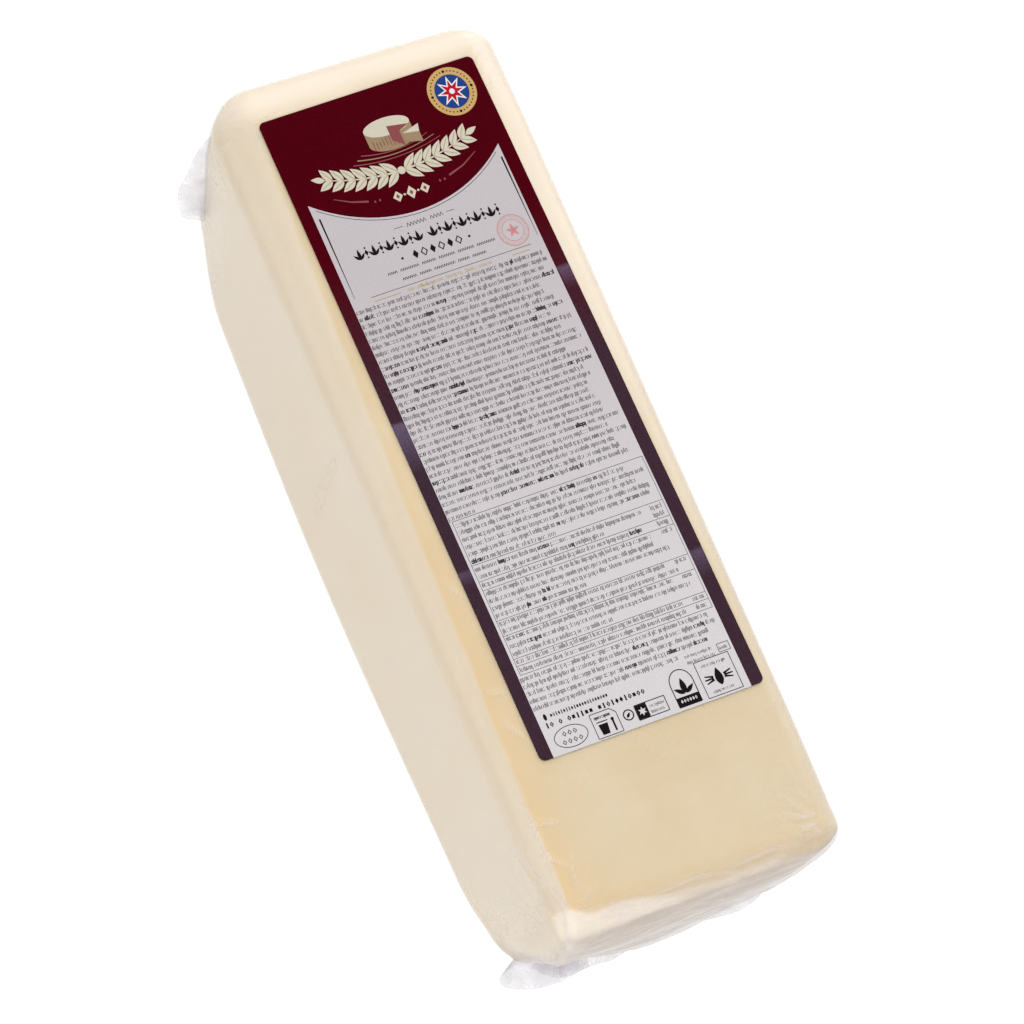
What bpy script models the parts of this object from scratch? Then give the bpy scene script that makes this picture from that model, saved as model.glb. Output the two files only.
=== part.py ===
# A five-kilogram cheddar block, vacuum packed in a clear shrink bag, with a printed label on its top face.
# Metres, +Z up. The origin lies on the surface under the pack, at the middle of its outline.
# The long axis is Y: the label's heading is at the +Y end, called far here, and -X is called left.

import math

import bmesh
import bpy
from mathutils import Vector, noise

# The block inside its tight film
BLOCK_LENGTH = 0.370
BLOCK_WIDTH = 0.130
BLOCK_HEIGHT = 0.095
HALF_LENGTH = BLOCK_LENGTH / 2
HALF_WIDTH = BLOCK_WIDTH / 2
HALF_HEIGHT = BLOCK_HEIGHT / 2

# Edge roundings: the left top edge gets softer towards the far end, the near one towards the left,
# and the right one is sharp along the label and softer at both ends
LEFT_RADIUS_NEAR = 0.008
LEFT_RADIUS_FAR = 0.022
RIGHT_RADIUS = 0.008
RIGHT_RADIUS_ENDS = 0.015
RIGHT_END_REACH = 0.050
NEAR_RADIUS_LEFT = 0.016
NEAR_RADIUS_RIGHT = 0.009
FAR_RADIUS_LEFT = 0.021
FAR_RADIUS_RIGHT = 0.013
TOP_RADIUS = 0.010

# Mesh spacing on the flat runs and across the rounded edges
FLAT_SPACING = 0.013
EDGE_SPACING = 0.0032
LEFT_EDGE_ZONE = 0.016
RIGHT_EDGE_ZONE = 0.013
NEAR_EDGE_ZONE = 0.016
FAR_EDGE_ZONE = 0.016
TOP_EDGE_ZONE = 0.010

# Low down the sides lean in and belly out again at mid length, and film bundles bulge both end faces
SIDE_LEAN = 0.0017
SIDE_BELLY = 0.0039
BELLY_HEIGHT = 0.075
END_BULGE = 0.0025
END_CRUMPLE = 0.0012
CRUMPLE_SIZE = 0.022
# How far inside each border of an end face the bulge takes to reach its full height
BULGE_START = 0.004
BULGE_SIDE_FADE = 0.025
BULGE_TOP_FADE = 0.030
BULGE_FOOT_FADE = 0.015

# The four bottom corners, drawn in where the cheese is soft: how far the change reaches along X, Y and Z
# from the corner, and how far the corner itself moves inwards and up
FOOT_CORNERS = (
    {"side": -1, "end": 1, "reach": (0.090, 0.070, 0.090), "inwards": (0.009, 0.008), "up": 0.004},
    {"side": -1, "end": -1, "reach": (0.070, 0.050, 0.070), "inwards": (0.003, 0.011), "up": 0.004},
    {"side": 1, "end": 1, "reach": (0.080, 0.070, 0.080), "inwards": (0.009, 0.007), "up": 0.004},
    {"side": 1, "end": -1, "reach": (0.060, 0.050, 0.060), "inwards": (0.004, 0.005), "up": 0.002},
)

# Loose film: webs down the far corners, ears at the near corners, and one heat seal across each end
FILM_THICKNESS = 0.0012
FILM_WAVE = 0.0011
FILM_WAVE_LENGTH = 0.013
FILM_WAVE_SLANT = 0.3
WELD_DISTANCE = 0.0001
SHARP_ANGLE = math.radians(50)
WEB_ROOT = ((-0.050, 0.166, 0.088), (-0.047, 0.158, 0.024))
WEB_TIP = (
    (-0.0560, 0.1700, 0.088),
    (-0.0628, 0.1710, 0.082),
    (-0.0664, 0.1710, 0.066),
    (-0.0690, 0.1680, 0.048),
    (-0.0692, 0.1650, 0.035),
    (-0.0660, 0.1600, 0.024),
    (-0.0530, 0.1580, 0.019),
)
EAR_ROOT = ((-0.049, -0.160, 0.016), (-0.028, -0.178, 0.018))
EAR_TIP = (
    (-0.0545, -0.1690, 0.014),
    (-0.0580, -0.1755, 0.012),
    (-0.0640, -0.1780, 0.009),
    (-0.0620, -0.1822, 0.007),
    (-0.0530, -0.1862, 0.007),
    (-0.0400, -0.1882, 0.008),
    (-0.0270, -0.1870, 0.011),
)
WEB_STEPS = (12, 5)
EAR_STEPS = (11, 6)
SEAL_STEPS = (24, 3)
SEAL_HALF_WIDTH = 0.052
SEAL_REACH = 0.1855
SEAL_ROOT = 0.176
SEAL_ROOT_HALF_WIDTH = 0.045
SEAL_CORNER = 0.012
SEAL_CORNER_REACH = 0.35
SEAL_SAG = 0.004
SEAL_POINTS = 12
SEAL_RIPPLE = 0.0014
SEAL_RIPPLE_STEP = 2.1
SEAL_GATHERS = (
    {"x": -0.036, "width": 0.012, "reach": 0.0022},
    {"x": -0.013, "width": 0.008, "reach": 0.0026},
    {"x": 0.049, "width": 0.008, "reach": 0.0022},
)
SEALS = (
    {"name": "near seal", "end": -1.0, "height": 0.014, "phase": 0.4},
    {"name": "far seal", "end": 1.0, "height": 0.040, "phase": 1.9},
)

# The printed label, a stiff glossy sheet stuck on top of the film
LABEL_WIDTH = 0.0991
LABEL_LENGTH = 0.2837
LABEL_THICKNESS = 0.00035
LABEL_GAP = 0.0003
LABEL_CORNER = 0.0026
LABEL_CORNER_STEPS = 5
LABEL_CENTRE = (0.004, 0.0272)
LABEL_TURN = math.radians(0.85)


def remove_everything():
    for thing in list(bpy.data.objects):
        bpy.data.objects.remove(thing, do_unlink=True)


def new_collection(name):
    collection = bpy.data.collections.new(name)
    bpy.context.scene.collection.children.link(collection)
    return collection


def surface_material(name, colour, roughness):
    material = bpy.data.materials.new(name)
    material.use_nodes = True
    shader = material.node_tree.nodes["Principled BSDF"]
    shader.inputs["Base Color"].default_value = (*colour, 1.0)
    shader.inputs["Roughness"].default_value = roughness
    shader.inputs["Metallic"].default_value = 0.0
    return material


def new_object(name, mesh, collection):
    thing = bpy.data.objects.new(name, mesh)
    collection.objects.link(thing)
    return thing


def smooth_step(t):
    t = min(max(t, 0.0), 1.0)
    return t * t * (3.0 - 2.0 * t)


def mix(start, end, t):
    return start + (end - start) * t


def even_cuts(start, end, spacing):
    count = max(1, round((end - start) / spacing))
    return [mix(start, end, step / count) for step in range(1, count)]


def axis_cuts(low, high, low_zone, high_zone):
    """Positions of the mesh lines along one axis: close together in the two edge zones."""
    cuts = even_cuts(low, low + low_zone, EDGE_SPACING)
    cuts.append(low + low_zone)
    cuts += even_cuts(low + low_zone, high - high_zone, FLAT_SPACING)
    cuts.append(high - high_zone)
    cuts += even_cuts(high - high_zone, high, EDGE_SPACING)
    return cuts


def sliced_box():
    """A closed box of the block's size, cut by planes into the grid that the shaping moves."""
    mesh_data = bmesh.new()
    bmesh.ops.create_cube(mesh_data, size=1.0)
    for vertex in mesh_data.verts:
        vertex.co.x *= BLOCK_WIDTH
        vertex.co.y *= BLOCK_LENGTH
        vertex.co.z = (vertex.co.z + 0.5) * BLOCK_HEIGHT
    cuts = (
        axis_cuts(-HALF_WIDTH, HALF_WIDTH, LEFT_EDGE_ZONE, RIGHT_EDGE_ZONE),
        axis_cuts(-HALF_LENGTH, HALF_LENGTH, NEAR_EDGE_ZONE, FAR_EDGE_ZONE),
        axis_cuts(0.0, BLOCK_HEIGHT, TOP_EDGE_ZONE, TOP_EDGE_ZONE),
    )
    for axis, positions in enumerate(cuts):
        normal = Vector((0.0, 0.0, 0.0))
        normal[axis] = 1.0
        for position in positions:
            everything = list(mesh_data.verts) + list(mesh_data.edges) + list(mesh_data.faces)
            bmesh.ops.bisect_plane(mesh_data, geom=everything, plane_co=normal * position, plane_no=normal)
    return mesh_data


def rounded(point):
    """The point moved onto the rounded block, from its place on the plain box."""
    across = (point.x + HALF_WIDTH) / BLOCK_WIDTH
    along = (point.y + HALF_LENGTH) / BLOCK_LENGTH
    endness = smooth_step(1.0 - (HALF_LENGTH - abs(point.y)) / RIGHT_END_REACH)
    left_radius = mix(LEFT_RADIUS_NEAR, LEFT_RADIUS_FAR, along)
    right_radius = mix(RIGHT_RADIUS, RIGHT_RADIUS_ENDS, endness)
    near_radius = mix(NEAR_RADIUS_LEFT, NEAR_RADIUS_RIGHT, across)
    far_radius = mix(FAR_RADIUS_LEFT, FAR_RADIUS_RIGHT, across)
    radii = (mix(left_radius, right_radius, across), mix(near_radius, far_radius, along), TOP_RADIUS)
    middle = Vector((0.0, 0.0, HALF_HEIGHT))
    half_size = (HALF_WIDTH, HALF_LENGTH, HALF_HEIGHT)
    core = point.copy()
    lean = Vector((0.0, 0.0, 0.0))
    for axis in range(3):
        limit = half_size[axis] - radii[axis]
        offset = min(max(point[axis] - middle[axis], -limit), limit)
        core[axis] = middle[axis] + offset
        lean[axis] = (point[axis] - core[axis]) / radii[axis]
    lean.normalize()
    return Vector([core[axis] + radii[axis] * lean[axis] for axis in range(3)])


def settled(point):
    """The rounded point, moved by the belly, the drawn-in bottom corners and the crumpled ends."""
    moved = point.copy()
    outwards = point.x / HALF_WIDTH
    belly = SIDE_BELLY * math.cos(math.pi * point.y / BLOCK_LENGTH) ** 2 - SIDE_LEAN
    moved.x += belly * smooth_step(1.0 - point.z / BELLY_HEIGHT) * outwards * abs(outwards)
    for foot in FOOT_CORNERS:
        corner = Vector((foot["side"] * HALF_WIDTH, foot["end"] * HALF_LENGTH, 0.0))
        weight = 1.0
        for axis in range(3):
            weight *= smooth_step(1.0 - abs(point[axis] - corner[axis]) / foot["reach"][axis])
        moved.x -= foot["side"] * foot["inwards"][0] * weight
        moved.y -= foot["end"] * foot["inwards"][1] * weight
        moved.z += foot["up"] * weight
    end = math.copysign(1.0, point.y)
    end_weight = smooth_step(1.0 - (HALF_LENGTH - abs(point.y)) / BULGE_START)
    end_weight *= smooth_step((HALF_WIDTH - abs(point.x)) / BULGE_SIDE_FADE)
    end_weight *= smooth_step((BLOCK_HEIGHT - point.z) / BULGE_TOP_FADE)
    end_weight *= smooth_step(point.z / BULGE_FOOT_FADE)
    crumple = noise.noise(Vector((point.x, 0.0, point.z)) / CRUMPLE_SIZE + Vector((0.0, end, 0.0)))
    moved.y += end * end_weight * (END_BULGE + END_CRUMPLE * crumple)
    return moved


def curve_point(points, t):
    """A point at t, from 0 to 1, on the smooth curve through the given points."""
    place = t * (len(points) - 1)
    index = min(int(place), len(points) - 2)
    local = place - index
    p1 = Vector(points[index])
    p2 = Vector(points[index + 1])
    p0 = Vector(points[index - 1]) if index > 0 else 2 * p1 - p2
    p3 = Vector(points[index + 2]) if index + 2 < len(points) else 2 * p2 - p1
    slope = 2 * p0 - 5 * p1 + 4 * p2 - p3
    bend = 3 * p1 - p0 - 3 * p2 + p3
    return 0.5 * (2 * p1 + (p2 - p0) * local + slope * local ** 2 + bend * local ** 3)


def film_flap(name, root, tip, steps, mirrored, collection):
    """A thin wavy flap of film, from a root line inside the block to a curved outer edge."""
    mesh_data = bmesh.new()
    bmesh.ops.create_grid(mesh_data, x_segments=steps[0], y_segments=steps[1], size=0.5)
    side = -1.0 if mirrored else 1.0
    for vertex in mesh_data.verts:
        along = vertex.co.x + 0.5
        out = vertex.co.y + 0.5
        start = Vector(root[0]).lerp(Vector(root[1]), along)
        edge = curve_point(tip, along)
        along_direction = Vector(root[1]) - Vector(root[0])
        lift = (edge - start).cross(along_direction).normalized()
        span = (edge - start).length
        slant = FILM_WAVE_SLANT * along_direction.length * along
        wave = math.sin(2 * math.pi * (span * out + slant) / FILM_WAVE_LENGTH)
        place = start.lerp(edge, out) + lift * FILM_WAVE * wave * out
        vertex.co = Vector((side * place.x, place.y, place.z))
    mesh = bpy.data.meshes.new(name)
    mesh_data.to_mesh(mesh)
    mesh_data.free()
    flap = new_object(name, mesh, collection)
    shell = flap.modifiers.new("film thickness", "SOLIDIFY")
    shell.thickness = FILM_THICKNESS
    shell.offset = 0.0
    return flap


def seal_tip(seal):
    """The outer edge of a heat seal across an end face, rippled along its length."""
    points = []
    for step in range(SEAL_POINTS + 1):
        x = mix(-SEAL_HALF_WIDTH, SEAL_HALF_WIDTH, step / SEAL_POINTS)
        fade = smooth_step((SEAL_HALF_WIDTH - abs(x)) / SEAL_CORNER)
        ripple = SEAL_RIPPLE * math.sin(seal["phase"] + SEAL_RIPPLE_STEP * step)
        furthest = SEAL_REACH + ripple / 2
        for gather in SEAL_GATHERS:
            furthest += gather["reach"] * math.exp(-((x - gather["x"]) / gather["width"]) ** 2)
        reach = mix(SEAL_ROOT, furthest, mix(SEAL_CORNER_REACH, 1.0, fade))
        points.append((x, seal["end"] * reach, seal["height"] - SEAL_SAG * fade + ripple * 2))
    return points


def sealed_bag(collection):
    block = sliced_box()
    for vertex in block.verts:
        vertex.co = settled(rounded(vertex.co))
    bmesh.ops.recalc_face_normals(block, faces=block.faces)
    mesh = bpy.data.meshes.new("sealed_bag")
    block.to_mesh(mesh)
    block.free()
    bag = new_object("sealed_bag", mesh, collection)

    flaps = new_collection("loose film")
    for mirrored in (False, True):
        side_name = "right" if mirrored else "left"
        film_flap(f"{side_name} web", WEB_ROOT, WEB_TIP, WEB_STEPS, mirrored, flaps)
        film_flap(f"{side_name} ear", EAR_ROOT, EAR_TIP, EAR_STEPS, mirrored, flaps)
    for seal in SEALS:
        root_corners = (-SEAL_ROOT_HALF_WIDTH, SEAL_ROOT_HALF_WIDTH)
        root = [(x, seal["end"] * SEAL_ROOT, seal["height"]) for x in root_corners]
        film_flap(seal["name"], root, seal_tip(seal), SEAL_STEPS, False, flaps)

    union = bag.modifiers.new("film joined on", "BOOLEAN")
    union.operation = "UNION"
    union.operand_type = "COLLECTION"
    union.collection = flaps
    union.solver = "MANIFOLD"
    joined = bpy.data.meshes.new_from_object(bag.evaluated_get(bpy.context.evaluated_depsgraph_get()))
    cleaned = bmesh.new()
    cleaned.from_mesh(joined)
    bmesh.ops.remove_doubles(cleaned, verts=cleaned.verts, dist=WELD_DISTANCE)
    bmesh.ops.triangulate(cleaned, faces=cleaned.faces)
    cleaned.to_mesh(joined)
    cleaned.free()
    bag.modifiers.clear()
    bag.data = joined
    joined.name = "sealed_bag"
    for flap in list(flaps.objects):
        bpy.data.objects.remove(flap, do_unlink=True)
    bpy.data.collections.remove(flaps)

    joined.materials.clear()
    joined.materials.append(surface_material("clear film over cheddar", (0.78, 0.68, 0.49), 0.3))
    joined.shade_smooth()
    joined.set_sharp_from_angle(angle=SHARP_ANGLE)
    return bag


def printed_label(collection):
    mesh_data = bmesh.new()
    bmesh.ops.create_grid(mesh_data, x_segments=1, y_segments=1, size=0.5)
    for vertex in mesh_data.verts:
        vertex.co.x *= LABEL_WIDTH
        vertex.co.y *= LABEL_LENGTH
    bmesh.ops.bevel(
        mesh_data,
        geom=list(mesh_data.verts),
        offset=LABEL_CORNER,
        segments=LABEL_CORNER_STEPS,
        profile=0.5,
        affect="VERTICES",
    )
    mesh = bpy.data.meshes.new("label")
    mesh_data.to_mesh(mesh)
    mesh_data.free()
    label = new_object("label", mesh, collection)
    label.location = (LABEL_CENTRE[0], LABEL_CENTRE[1], BLOCK_HEIGHT + LABEL_GAP)
    label.rotation_euler = (0.0, 0.0, LABEL_TURN)
    sheet = label.modifiers.new("sheet thickness", "SOLIDIFY")
    sheet.thickness = LABEL_THICKNESS
    sheet.offset = 1.0
    mesh.materials.append(surface_material("printed label sheet", (0.10, 0.01, 0.02), 0.35))
    return label


def main():
    remove_everything()
    cheddar_block = new_collection("cheddar block")
    sealed_bag(cheddar_block)
    printed_label(cheddar_block)


main()
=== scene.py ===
import functools
import math
import random

import bpy
import numpy as np
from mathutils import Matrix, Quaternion, Vector, noise


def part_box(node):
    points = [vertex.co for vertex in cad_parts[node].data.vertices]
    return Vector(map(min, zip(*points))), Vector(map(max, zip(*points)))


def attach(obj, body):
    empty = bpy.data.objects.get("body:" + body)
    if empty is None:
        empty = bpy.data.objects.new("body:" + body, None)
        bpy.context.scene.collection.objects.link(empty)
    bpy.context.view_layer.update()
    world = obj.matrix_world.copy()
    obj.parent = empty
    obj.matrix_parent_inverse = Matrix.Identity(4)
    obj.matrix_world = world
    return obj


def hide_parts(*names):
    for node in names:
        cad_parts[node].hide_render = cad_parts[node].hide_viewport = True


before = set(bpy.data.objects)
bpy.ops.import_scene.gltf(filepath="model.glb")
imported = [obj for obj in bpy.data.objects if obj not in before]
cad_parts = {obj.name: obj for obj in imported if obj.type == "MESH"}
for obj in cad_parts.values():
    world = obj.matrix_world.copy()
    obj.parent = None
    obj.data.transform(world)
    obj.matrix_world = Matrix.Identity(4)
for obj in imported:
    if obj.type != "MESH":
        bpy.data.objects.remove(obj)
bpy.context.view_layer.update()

# A block of cheddar in a clear shrink bag, with a long printed label on its top face.
# Sizes below are millimetres in the frame's axes: +Y to the label's heading, -X the long side that shows.

mm = 0.001
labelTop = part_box("label")[1].z


# small helpers

def toLinear(hexColour):
    channels = [int(hexColour[i:i + 2], 16) / 255 for i in (1, 3, 5)]
    return tuple(c / 12.92 if c <= 0.04045 else ((c + 0.055) / 1.055) ** 2.4 for c in channels) + (1.0,)


def addNode(material, kind, inputs=None, output=0, **settings):
    # each input is a value or the socket that feeds it, and what comes back is one output socket
    node = material.node_tree.nodes.new(kind)
    for key, value in settings.items():
        setattr(node, key, value)
    for key, value in (inputs or {}).items():
        if isinstance(value, bpy.types.NodeSocket):
            material.node_tree.links.new(value, node.inputs[key])
        else:
            node.inputs[key].default_value = value
    return node.outputs[output] if node.outputs else node


def emptyMaterial(name):
    # a material without nodes, and the function that adds a node to it
    material = bpy.data.materials.new(name)
    material.use_nodes = True
    material.node_tree.nodes.clear()
    return material, functools.partial(addNode, material)


def smoothStep(t):
    t = np.clip(t, 0.0, 1.0)
    return t * t * (3.0 - 2.0 * t)


def mix(start, end, t):
    return start + (end - start) * t


def noiseAt(points, sizes, seed):
    # soft noise from -1 to 1 at each point, with lumps of the given size along each axis
    scaled = points / np.array(sizes) + seed * 17.3
    return np.array([noise.noise(Vector(p)) for p in scaled.tolist()])


def newPiece(name, points, faces, material, attributes=None, smooth=True):
    mesh = bpy.data.meshes.new(name)
    mesh.from_pydata((np.asarray(points) * mm).tolist(), [], [list(map(int, face)) for face in faces])
    for key, values in (attributes or {}).items():
        kind, field = ("FLOAT_VECTOR", "vector") if np.ndim(values) == 2 else ("FLOAT", "value")
        layer = mesh.attributes.new(key, kind, "POINT")
        layer.data.foreach_set(field, np.asarray(values, dtype=np.float32).ravel())
    mesh.materials.append(material)
    if smooth:
        mesh.shade_smooth()
    piece = bpy.data.objects.new(name, mesh)
    bpy.context.scene.collection.objects.link(piece)
    return piece


def gridQuads(rows, columns, order):
    # quads between the points of a grid that was filled row by row, corners in the given order
    corners = (0, 1, columns + 2, columns + 1)
    return [tuple(row * (columns + 1) + column + corners[k] for k in order)
            for row in range(rows) for column in range(columns)]


# the shape that the cheese and the film share, the same rule as the model's solid

blockShape = {
    "halfSize": (65.0, 185.0, 47.5),
    "leftRadii": (8.0, 22.0),      # near end, far end
    "rightRadii": (8.0, 15.0),     # beside the label, at both ends
    "rightEndReach": 50.0,
    "nearRadii": (16.0, 9.0),      # left, right
    "farRadii": (21.0, 13.0),      # left, right
    "topRadius": 10.0,
    "sideLean": 1.7,
    "sideBelly": 3.9,
    "bellyHeight": 75.0,
    "endBulge": 2.5,
    "bulgeFades": (4.0, 25.0, 30.0, 15.0),      # from the end, the sides, the top and the table
    "feet": (                      # bottom corners drawn in: side, end, reach, inwards along X and Y, up
        (-1, 1, (90, 70, 90), (9.0, 8.0), 4.0),
        (-1, -1, (70, 50, 70), (3.0, 11.0), 4.0),
        (1, 1, (80, 70, 80), (9.0, 7.0), 4.0),
        (1, -1, (60, 50, 60), (4.0, 5.0), 2.0),
    ),
    "waveHeight": 0.12,            # the top face isn't quite flat
    "waveLengths": (74.0, 93.0, 61.0),
}


def topWave(x, y):
    across, along, slant = [2 * math.pi * place / length for place, length in zip(
        (x, y, x + y), blockShape["waveLengths"])]
    return blockShape["waveHeight"] * (np.sin(across + 0.7) * np.sin(along + 1.9) + 0.5 * np.sin(slant))


def meshLines(stretches):
    # places of the mesh lines along one axis, from stretches of (start, end, step)
    lines = [np.linspace(start, end, round((end - start) / step) + 1)[:-1] for start, end, step in stretches]
    return np.append(np.concatenate(lines), stretches[-1][1])


def boxGrid(lines):
    # the six sides of a box as quads, with mesh lines at the given places along X, Y and Z
    counts = [len(line) for line in lines]
    corners = []
    for axis in range(3):
        first, second = (axis + 1) % 3, (axis + 2) % 3
        a, b = np.meshgrid(np.arange(counts[first] - 1), np.arange(counts[second] - 1), indexing="ij")
        for end in (0, counts[axis] - 1):
            loop = [(0, 0), (1, 0), (1, 1), (0, 1)]
            if end == 0:
                loop.reverse()
            quads = np.zeros((a.size, 4, 3), int)
            for corner, (da, db) in enumerate(loop):
                quads[:, corner, axis] = end
                quads[:, corner, first] = a.ravel() + da
                quads[:, corner, second] = b.ravel() + db
            corners.append(quads)
    corners = np.concatenate(corners).reshape(-1, 3)
    keys = (corners[:, 0] * counts[1] + corners[:, 1]) * counts[2] + corners[:, 2]
    _, firstUse, faces = np.unique(keys, return_index=True, return_inverse=True)
    points = np.stack([lines[axis][corners[firstUse, axis]] for axis in range(3)], axis=1)
    return points, faces.reshape(-1, 4)


def blockSurface(points, inset):
    # moves the plain box's points onto the rounded and settled block, and gives the way out at each
    shape = blockShape
    halfSize = np.array(shape["halfSize"])
    across = (points[:, 0] + halfSize[0]) / (2 * halfSize[0])
    along = (points[:, 1] + halfSize[1]) / (2 * halfSize[1])
    endness = smoothStep(1 - (halfSize[1] - abs(points[:, 1])) / shape["rightEndReach"])
    radii = np.stack([
        mix(mix(*shape["leftRadii"], along), mix(*shape["rightRadii"], endness), across),
        mix(mix(*shape["nearRadii"], across), mix(*shape["farRadii"], across), along),
        np.full(len(points), shape["topRadius"]),
    ], axis=1)
    middle = np.array([0.0, 0.0, halfSize[2]])
    centred = points - middle
    core = np.clip(centred, radii - halfSize, halfSize - radii)
    lean = (centred - core) / radii
    lean /= np.linalg.norm(lean, axis=1, keepdims=True)
    out = lean / radii
    out /= np.linalg.norm(out, axis=1, keepdims=True)
    rounded = core + radii * lean + middle
    moved = rounded - inset * out
    x, y, z = rounded.T
    belly = shape["sideBelly"] * np.cos(math.pi * y / (2 * halfSize[1])) ** 2 - shape["sideLean"]
    moved[:, 0] += belly * smoothStep(1 - z / shape["bellyHeight"]) * x * abs(x) / halfSize[0] ** 2
    for side, end, reach, inwards, up in shape["feet"]:
        weight = smoothStep(1 - abs(x - side * halfSize[0]) / reach[0])
        weight *= smoothStep(1 - abs(y - end * halfSize[1]) / reach[1]) * smoothStep(1 - z / reach[2])
        moved += np.outer(weight, (-side * inwards[0], -end * inwards[1], up))
    atEnd, inward, below, above = shape["bulgeFades"]
    bulge = smoothStep((abs(y) - halfSize[1] + atEnd) / atEnd) * smoothStep((halfSize[0] - abs(x)) / inward)
    bulge *= smoothStep((2 * halfSize[2] - z) / below) * smoothStep(z / above)
    moved[:, 1] += np.sign(y) * bulge * shape["endBulge"]
    moved[:, 2] += np.clip(out[:, 2], 0, 1) * topWave(x, y)
    return moved, out


# cheddar: young, pale, pressed and cut smooth, so light goes a little way in and the grain hardly shows

cheddar = {
    "cuts": (                      # mesh steps along X, Y and Z: start, end, step
        ((-65, -41, 1.0), (-41, 41, 2.6), (41, 65, 1.2)),
        ((-185, -161, 1.0), (-161, 161, 2.6), (161, 185, 1.5)),
        ((0, 24, 2.0), (24, 75, 3.0), (75, 95, 1.4)),
    ),
    "inset": 0.3,                  # gap that keeps the cheese inside its film
    "colour": "#e2d1b2",
    "deepColour": "#ddc7a2",
    "warmLitColour": "#e8cb9c",       # painted light: beside the left edge, where light comes through the corner
    "paleSheenColour": "#e9dbc5",       # painted reflection: the sides, paled by a veil of light that their film reflects
    "creamColour": "#fff1e1",      # painted highlight: the rounding of the near end, where the film is doubled, and the right and far rims
    "greyShadeColour": "#cdbdb0",       # painted shade: the near end itself, turned away from the lamps, under its film
    "leftEdge": (-56.0, -46.0),    # where the top's yellow starts, at the near end and at the far end
    "leftTurn": 1.4,               # how late that edge moves in on its way to the far end
    "rightEdge": (54.0, 49.0),     # and where the yellow stops at the right
    "rightCream": (57.0, 49.0),
    "rightShares": (0.6, 0.25, 0.36),           # of painted pale sheen, more of it further off, and of painted cream highlight
    "farEdge": 160.0,
    "farCream": 166.0,
    "farShares": (0.45, 0.5),      # of painted pale sheen and of painted cream highlight
    "nearEdge": -183.0,
    "nearSteps": ((8.0, 5, 45), (5.0, -48, 12)),    # it stops earlier to the left: by, from X, over
    "greyShadeBelow": 90.4,
    "greyShadeAtLeft": 0.4,             # the share of painted shade at the near end's left corner
    "raggedness": 0.7,
    "ragSizes": (16, 16, 16),
    "patchSizes": (45, 30, 60),
    "warmLitReach": (9.0, 7.0),       # how far the painted warm light fades from the left and the near edges
    "mottleSize": 38.0,            # soft clouds of tone
    "mottleStops": (0.35, 0.68),
    "grainSize": 1.6,              # curd grain
    "grainShare": 0.18,
    "grainHeight": 0.15,
    "lightDepth": 3.5,             # how far light spreads inside
}


def paleSheenEdge(y):
    # where the top face's yellow starts and the left side's painted pale sheen ends, across from the left:
    # further in towards the far end
    reach = blockShape["halfSize"][1]
    along = (np.clip(y, -reach, reach) + reach) / (2 * reach)
    return mix(*cheddar["leftEdge"], along ** cheddar["leftTurn"])


def nearHazeLine(x):
    # where it stops before the near edge: well back at the left, late at the right
    line = cheddar["nearEdge"]
    for back, start, width in cheddar["nearSteps"]:
        line = line + back * smoothStep((start - x) / width)
    return line


def cheddarTone(points, out):
    # how much of each tone the cheese is painted with at each point, from 0 to 1; all four tones are painted
    # light and shade
    x, y, z = points.T
    ragged = cheddar["raggedness"] * noiseAt(points, cheddar["ragSizes"], 6)
    patchy = 0.84 + 0.16 * noiseAt(points, cheddar["patchSizes"], 9)
    farther = smoothStep((y + 90) / 190)
    rightPaleSheen, rightMore, rightCream = cheddar["rightShares"]
    farPaleSheen, farCream = cheddar["farShares"]

    # painted reflection: a pale veil over the left side, the right rim and the far end
    paleSheen = smoothStep((paleSheenEdge(y) - x + ragged) / 2.6) * patchy
    pastRight = smoothStep((x - mix(*cheddar["rightEdge"], farther) + 1.5 * ragged) / 6)
    paleSheen = np.maximum(paleSheen, (rightPaleSheen + rightMore * farther) * pastRight)
    paleSheen = np.maximum(paleSheen, farPaleSheen * smoothStep((y - cheddar["farEdge"] + 3 * ragged) / 14))

    # painted highlight: lightens the near end's rounding and the right and far rims beyond what the lamps
    # give them
    facingNear = smoothStep((out[:, 2] - out[:, 1] - 0.4) / 0.3)
    cream = smoothStep((nearHazeLine(x) - y + ragged) / 2.2) * facingNear
    pastRight = smoothStep((x - mix(*cheddar["rightCream"], farther) + ragged) / 5)
    cream = np.maximum(cream, rightCream * farther * pastRight)
    pastFar = smoothStep((y - cheddar["farCream"] + 2 * ragged) / 12) * smoothStep((z - 60) / 20)
    cream = np.maximum(cream, farCream * pastFar)

    # painted shade: the near end face below its rounding
    greyShade = smoothStep((cheddar["greyShadeBelow"] - z) / 1.4) * smoothStep((-out[:, 1] - 0.35) / 0.25)
    greyShade = greyShade * mix(cheddar["greyShadeAtLeft"], 1, smoothStep((x + 64) / 9))

    # painted light: a deeper yellow beside the left and the near edges
    besideLeft, besideNear = cheddar["warmLitReach"]
    warmLit = np.exp(-np.clip(x - paleSheenEdge(y), 0, None) / besideLeft) * (1 - 0.6 * farther)
    warmLit += 0.6 * np.exp(-np.clip(y - nearHazeLine(x), 0, None) / besideNear)
    return {"warmLit": 0.8 * np.clip(warmLit, 0, 1), "paleSheen": paleSheen, "cream": cream, "greyShade": greyShade}


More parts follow.
